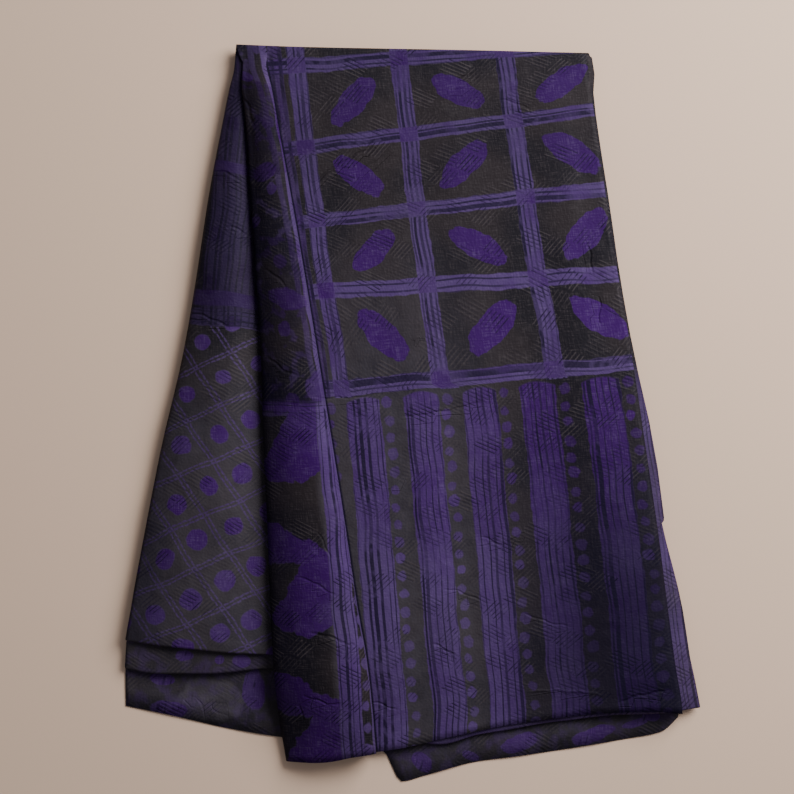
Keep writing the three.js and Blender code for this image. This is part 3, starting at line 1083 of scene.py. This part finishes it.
def draw_ovals(tree, u, v):
    """The ovals, and a thin dark line round each."""
    column, row = ((u - band_from) / window_wide).floor(), (v / window_high).floor()
    one, two, three = chance(tree, column, row, 2.9)
    x = u - band_from - (column + 0.5) * window_wide + (one - 0.5) * 7
    y = v - (row + 0.5) * window_high + (two - 0.5) * 7
    lean = (column + row).math("FLOORED_MODULO", 2) * 2 - 1
    angle = lean * ((three - 0.5) * 0.3 + oval_tilt)
    cosine, sine = angle.math("COSINE"), angle.math("SINE")
    long = ((x * cosine + y * sine) / oval_long).size()
    wide = ((y * cosine - x * sine) / oval_wide).size()
    ragged = grain(tree, u, v, 15, 4.4, detail=2)
    far = long.math("POWER", 2.2) + wide.math("POWER", 1.9) + (ragged - 0.5) * 0.9
    oval = far.within(1, 0.06)
    return oval, far.within(1.2, 0.08) - oval


def draw_bands(tree, u, v, below):
    """The bands that run down, which turn into the broad stripes below the border, and across."""
    pitch = below * (stripe_pitch - window_wide) + window_wide
    start = below * (last_stripe - band_from) + band_from
    column = ((u - start) / pitch + 0.5).floor()
    row = (v / window_high + 0.5).floor()
    beside, above = u - start - column * pitch, v - row * window_high
    half = below * (stripe_half - band_half) + band_half
    upright, upright_dark = use(tree, stripe, Across=beside, Along=v, Half=half,
                                Line=below * -0.45 + 1.4, Pitch=below + 5.6, Seed=column * 3.7 + 5)
    top = (v - beside * beside / stripe_bow).rising(stripe_from - 2, stripe_from + 1)
    level, level_dark = use(tree, stripe, Across=above, Along=u, Half=cross_half, Pitch=5.8,
                            Line=1.3, Seed=row * 5.3 + 40)
    margin = (u - margin_from).rising(-0.8, 0.8).less_one()
    in_margin = ((u - margin_from) / margin_pitch - 0.25).math("FRACT") - 0.5
    margin_line = in_margin.size().within(0.22, 0.12) * margin * 0.85
    crossing = beside.size().within(band_half, 0.7) * above.size().within(cross_half, 0.7)
    cloudy = grain(tree, u, v, 40, 6.2, detail=1)
    solid = crossing * 0.85 + cloudy.rising(0.55, 0.68) * 0.5
    dark = (upright_dark * level.less_one()).larger(level_dark * upright.less_one())
    dark = dark.larger(margin_line * cloudy.rising(0.3, 0.55)) * solid.smaller(1).less_one()
    ink = mix_wires(upright.larger(level).larger(margin * 0.7), upright * top, below)
    return ink, mix_wires(dark, upright_dark * top, below), solid * 0.6 + margin * 0.4 + 0.05


def draw_front(tree, u, v):
    """The front: below picks the stripes; the violet deepens and painted shade darkens to the lower
    right.
    """
    oval, rim = draw_ovals(tree, u, v)
    below = v.above(border_low)
    band, dark, band_strength = draw_bands(tree, u, v, below)
    column = ((u - last_stripe + dot_shift) / stripe_pitch).floor()
    from_column = u - last_stripe + dot_shift - (column + 0.5) * stripe_pitch
    dotted, = use(tree, dots, Across=from_column, Along=v, Spacing=dot_every, Radius=5,
                  Seed=column * 7.1 + 3)
    oval, rim = oval * below.less_one(), rim * below.less_one()
    ink = band.larger(oval).larger(dotted * below)
    dark = dark.larger(rim * 0.5)
    to_right = u.rising(-210, -40)
    deeper = v.rising(400, 520).less_one() * 0.4 + to_right * 0.5 + 0.15
    strength = mix_wires(oval * 1.3 + band_strength, deeper, below)
    # Painted shade darkens the lower right, where the cloth turns from the light; top-row ink is darker.
    shade = to_right * v.rising(280, 620) * 0.75 + ink * (v.rising(0, 300) * -0.28 + 0.28)
    # Painted shadow: the panel's first millimetres out from under the ridge are darkened almost to navy.
    from_ridge_line, _ = place_on(tree, "pile")
    shade = shade.larger(from_ridge_line.rising(1, 3).less_one() * 0.95)
    # Painted sheen: the ground on the left middle of the front is lifted to grey, as where it reflects
    # light.
    wear_and_sheen = u.rising(-230, -90).less_one() * v.rising(120, 380) * 0.5
    return ink, dark, strength, shade, wear_and_sheen


front_finish = print_finish("windows and stripes", draw_front)
print("finish:", front_finish.name, "with", len(front_finish.node_tree.nodes), "nodes")

# %% [markdown]
# ### The roll: strokes above, petals below
# The roll shows the next part of the cloth across. On its lower half a lined stripe and a column of
# dots run near the ridge, and big pointed petals fill the rest. On its upper half there are only
# loose strokes and single dots, each with a row in a table. A pale violet edge follows the ridge:
# partly print, partly a painted highlight where the fold turns to the light.

# %% The roll's print
petal_every, petal_from, petal_edge = 157.5, 112, -12
petal_tip, petal_slope, petal_foot = -68, 0.5, 117
bow_at, bow_half, bow_deep = -44, 24, 7
notch_at, notch_slope, notch_tip = 43, 0.66, -40
ridge_strip_in = 14.5
near_dots_at = 17
lone_dots_at = (-36, 22)
bars_at, grey_strip_at = -6, -6
roll_strokes = table(
    "u v long wide tilt", (-52, -352, 10, 5, 0.3), (-42, -252, 14, 9, -0.2),
    (-30, -120, 20, 12, 0.2), (-8, -28, 12, 16, 0), (-60, -200, 9, 5, -0.5), (-20, -300, 6, 14, 0),
)


def leaf_at(u, v, row, ragged):
    """A mask of one leaf of a table, with a ragged edge."""
    at_u, at_v, long, wide, tilt = row
    dx, dy = u - at_u, v - at_v
    turned = (dx * math.cos(tilt) + dy * math.sin(tilt)) / long
    raised = (dy * math.cos(tilt) - dx * math.sin(tilt)) / wide
    return (turned * turned + raised * raised + (ragged - 0.5) * 1.2).within(1, 0.2)


def draw_petals(u, v, ragged):
    """Big petals one below another, each with a slanting top and a notch on its left."""
    down = v - ((v - petal_from) / petal_every).floor() * petal_every - petal_from
    down = down + (ragged - 0.5) * 14
    top = (u - petal_tip) * petal_slope
    bow = (u - bow_at) / bow_half
    foot = (down + bow * bow * bow_deep).rising(petal_foot - 1, petal_foot + 1)
    petal = (down - top).rising(-1, 1) * foot.less_one()
    notch_edge = u + (down - notch_at) * notch_slope + (ragged - 0.5) * 8 - notch_tip
    notch = down.rising(notch_at - 1, notch_at + 2) * notch_edge.rising(-1, 1).less_one()
    return petal * notch.less_one() * u.rising(petal_edge - 1, petal_edge + 1).less_one()


def draw_ridge_strips(tree, v):
    """The strips along the ridge: a pale edge, part print and part painted highlight, and higher up one
    more.
    """
    back, y = place_on(tree, "pile")
    uneven = grain(tree, back, y, 30, 6.8)
    beside = back + (uneven - 0.5) * 3
    high = v.rising(-12, -2).less_one()
    edge_in = y.rising(150, 330) * -4 + high * 2 + 3
    # The edge is a pale lilac strip: partly print, partly a painted highlight where the fold catches
    # light.
    edge = (beside + edge_in).size().within(high * 2.6 + 1.6, 0.8)
    pale = (beside + ridge_strip_in).size().within(3, 1) * high
    return edge * 0.85, pale


def draw_roll(tree, u, v):
    """The roll: low picks its lower half, and upper and lower are the prints of the two."""
    lined, lined_dark = use(tree, stripe, Across=u, Along=v, Half=12, Pitch=5.5, Line=0.8, Seed=71)
    low = v.rising(-18, -8)
    near, = use(tree, dots, Across=u - near_dots_at, Along=v, Spacing=22.5, Radius=5, Seed=74)
    lone_u, lone_v = u - lone_dots_at[0], v - lone_dots_at[1]
    lone, = use(tree, dots, Across=lone_u, Along=lone_v, Spacing=73, Radius=6.2, Seed=75)
    ragged, hatched, streak = three_grains(tree, u, v, 15, 5.9, detail=2)
    edge, pale = draw_ridge_strips(tree, v)
    stroke = lone * 0.8
    for row in zip(*roll_strokes.values()):
        stroke = (leaf_at(u, v, row, ragged) * 0.8).larger(stroke)
    petal = draw_petals(u, v, ragged)
    bars, bars_dark = use(tree, stripe, Across=v - bars_at, Along=u, Half=8, Pitch=5, Line=0.9,
                          Seed=76)
    lower = lined.larger(near).larger(petal)
    upper = stroke.larger(hatched.rising(0.52, 0.68) * 0.4).larger(pale * 0.45)
    ink = mix_wires(upper, lower, low).larger(bars * 0.6).larger(edge)
    dark = (lined_dark * low * petal.less_one()).larger(bars_dark) * edge.less_one()
    # Painted shade darkens the roll away from the ridge, towards the valley; petals and upper streaks
    # are darker.
    shade = u.rising(-70, -30).less_one() * 0.3 + petal * 0.15
    shade = (shade + streak * 0.4 * low.less_one()) * edge.less_one()
    wear_and_sheen = (u - grey_strip_at).size().within(9, 5) * low * 0.7
    strength = petal * 0.7 + stroke * 0.6 - edge * 0.6 + 0.25
    return ink, dark, strength, shade, wear_and_sheen


roll_finish = print_finish("petals of the roll", draw_roll, shine=0.05)
print("finish:", roll_finish.name)

# %% [markdown]
# ### The lobe: a slanting lattice with dots
# Two families of dashed lines cross at a slant, and each space holds one round dot. Its two steps
# are the directions from one dot to the next. Above, a cross band closes the lattice off and lined
# stripes run up to the top.

# %% The lobe's print
lattice_start = (-203.5, 20.3)
lattice_steps = ((-36.2, 16.1), (27.1, 40.5))
lattice_top = -68
edge_lean = -0.12
lined_band, solid_band, high_band = -76, -96, -235
uprights_at, uprights_lean = -190, 0.09


def lattice_places(u, v):
    """How many steps along each of the lattice's two directions a place is."""
    (ax, ay), (bx, by) = lattice_steps
    area = ax * by - ay * bx
    x, y = u - lattice_start[0], v - lattice_start[1]
    return (x * by - y * bx) / area, (y * ax - x * ay) / area


def dashed(tree, beside, along, every, half, seed):
    """A chain of short dashes along a line."""
    ragged = grain(tree, beside, along, 5, seed)
    dash = ((along / every).math("FRACT") - 0.5).size().within(0.36, 0.08)
    double = (beside.size() + (ragged - 0.5) * 1.4 - half).size().within(0.85, 0.4)
    return double * (dash * 0.6 + 0.35)


def draw_lattice(tree, u, v):
    first, second = lattice_places(u, v)
    (ax, ay), (bx, by) = lattice_steps
    near_a, near_b = (first + 0.5).floor(), (second + 0.5).floor()
    one, two, three = chance(tree, near_a, near_b, 5.1)
    off_a, off_b = first - near_a + (one - 0.5) * 0.14, second - near_b + (two - 0.5) * 0.14
    x, y = off_a * ax + off_b * bx, off_a * ay + off_b * by
    ragged = grain(tree, u, v, 11, 6.1, detail=1)
    far = (x * x + y * y).math("SQRT") + (ragged - 0.5) * 3.5
    grown = v.rising(-90, 160) * 2.6 + three * 1.8 + 7.4
    dot = far.within(grown, 1.0)
    step_a, step_b = math.hypot(ax, ay), math.hypot(bx, by)
    slant = abs(ax * by - ay * bx)
    from_a = (first - near_a).size() * -1 + 0.5
    from_b = (second - near_b).size() * -1 + 0.5
    steep = dashed(tree, from_a * (slant / step_b), second * step_b, 7.0, 2.1, 1.9)
    level = dashed(tree, from_b * (slant / step_a), first * step_a, 6.0, 1.8, 2.8)
    return dot.larger(steep.larger(level) * 0.75), dot


def draw_lobe(tree, u, v):
    """The lobe: above picks the part over the lattice, with its cross bands and lined stripes."""
    lattice, dot = draw_lattice(tree, u, v)
    edge = v + u * edge_lean
    beside = u - uprights_at + v * uprights_lean
    uprights, uprights_dark = use(tree, stripe, Across=beside, Along=v, Half=40, Pitch=6.4,
                                  Line=1.5, Seed=81)
    bars, bars_dark = use(tree, stripe, Across=edge - lined_band, Along=u, Half=9, Pitch=4.6,
                          Line=1.0, Seed=82)
    solid = (edge - solid_band).size().within(8, 1.2)
    solid = solid.larger((edge - high_band).size().within(6, 1.2))
    above = edge.rising(lattice_top - 2, lattice_top + 2).less_one()
    upper = (uprights * 0.45).larger(solid * 0.8) * above
    ink = mix_wires(lattice, upper, above).larger(bars * 0.6)
    dark = (uprights_dark * above * solid.less_one()).larger(bars_dark)
    # Painted shade darkens the lobe's far left and its upper part, which turn from the light; lower is
    # greyer.
    shade = u.rising(-285, -235).less_one() * 0.4 + above * 0.5
    wear_and_sheen = v.rising(-120, 40) * 0.45
    return ink, dark, dot * 0.6 + solid * 0.5 + 0.2, shade, wear_and_sheen


lobe_finish = print_finish("lattice with dots", draw_lobe)
print("finish:", lobe_finish.name)

# %% [markdown]
# ### The side and the rear
# Past the front's right edge the lengths below show as narrow strips with lengthwise lines. At the
# lower end the rear shows a few soft petals on a mottled ground, each listed in a table.

# %% The side's and the rear's print
pale_patch = (-212, 300, 36, 22, 0.1)
rear_leaves = table(
    "u v long wide tilt", (-263, 277, 14, 6, 0.1), (-255, 309, 20, 9, 0.2),
    (-165, 290, 12, 22, 0), (10, 366, 12, 9, 0.9), (113, 346, 20, 9, -0.35),
    (190, 336, 22, 8, -0.3), (251, 318, 9, 6, 0), (-239, 252, 10, 6, 0),
    (-178, 259, 10, 7, 0.1), (-201, 258, 5, 5, 0), (60, 358, 10, 5, 0.4), (235, 325, 14, 4, -0.2),
)
side_from, side_whole = -60, -25
side_lines_at = 12
rear_lines_lean = 0.2


def draw_side(tree, u, v):
    """The side: pale washed violet with lengthwise lines; near the top the dark ground is painted shade.
    """
    _, lines = use(tree, stripe, Across=u - side_lines_at, Along=v, Half=40, Pitch=5.4, Line=0.9,
                   Seed=91)
    washed = grain(tree, u, v, 45, 3.7)
    # Near the top the violet is left out, so the dark ground stands for painted shade on the strips.
    ink = (washed * 0.4 + 0.4) * v.rising(side_from, side_whole)
    return ink, lines, 0.1, 0, 0


def draw_rear(tree, u, v):
    """The rear: leaves from the table on a mottled ground lifted to grey, with one paler patch."""
    ragged, second, third = three_grains(tree, u, v, 18, 8.8, detail=2)
    ink = second.rising(0.42, 0.66) * 0.35
    for row in zip(*rear_leaves.values()):
        ink = leaf_at(u, v, row, ragged).larger(ink)
    beside = u + v * rear_lines_lean
    _, lines = use(tree, stripe, Across=beside, Along=v, Half=900, Pitch=8, Line=0.6, Seed=92)
    wear_and_sheen = leaf_at(u, v, pale_patch, ragged) * 0.5 + 0.35
    return ink, lines * third.rising(0.5, 0.6) * 0.7, ink * 0.3 + 0.3, 0, wear_and_sheen


side_finish = print_finish("lined side", draw_side)
rear_finish = print_finish("petals of the rear", draw_rear)
for finish in (front_finish, roll_finish, lobe_finish, side_finish, rear_finish):
    cloth.data.materials.append(finish)
print("finishes on the cloth:", len(cloth.data.materials))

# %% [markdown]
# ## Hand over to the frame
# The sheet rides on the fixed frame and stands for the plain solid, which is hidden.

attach(cloth, "root")
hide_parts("cloth")
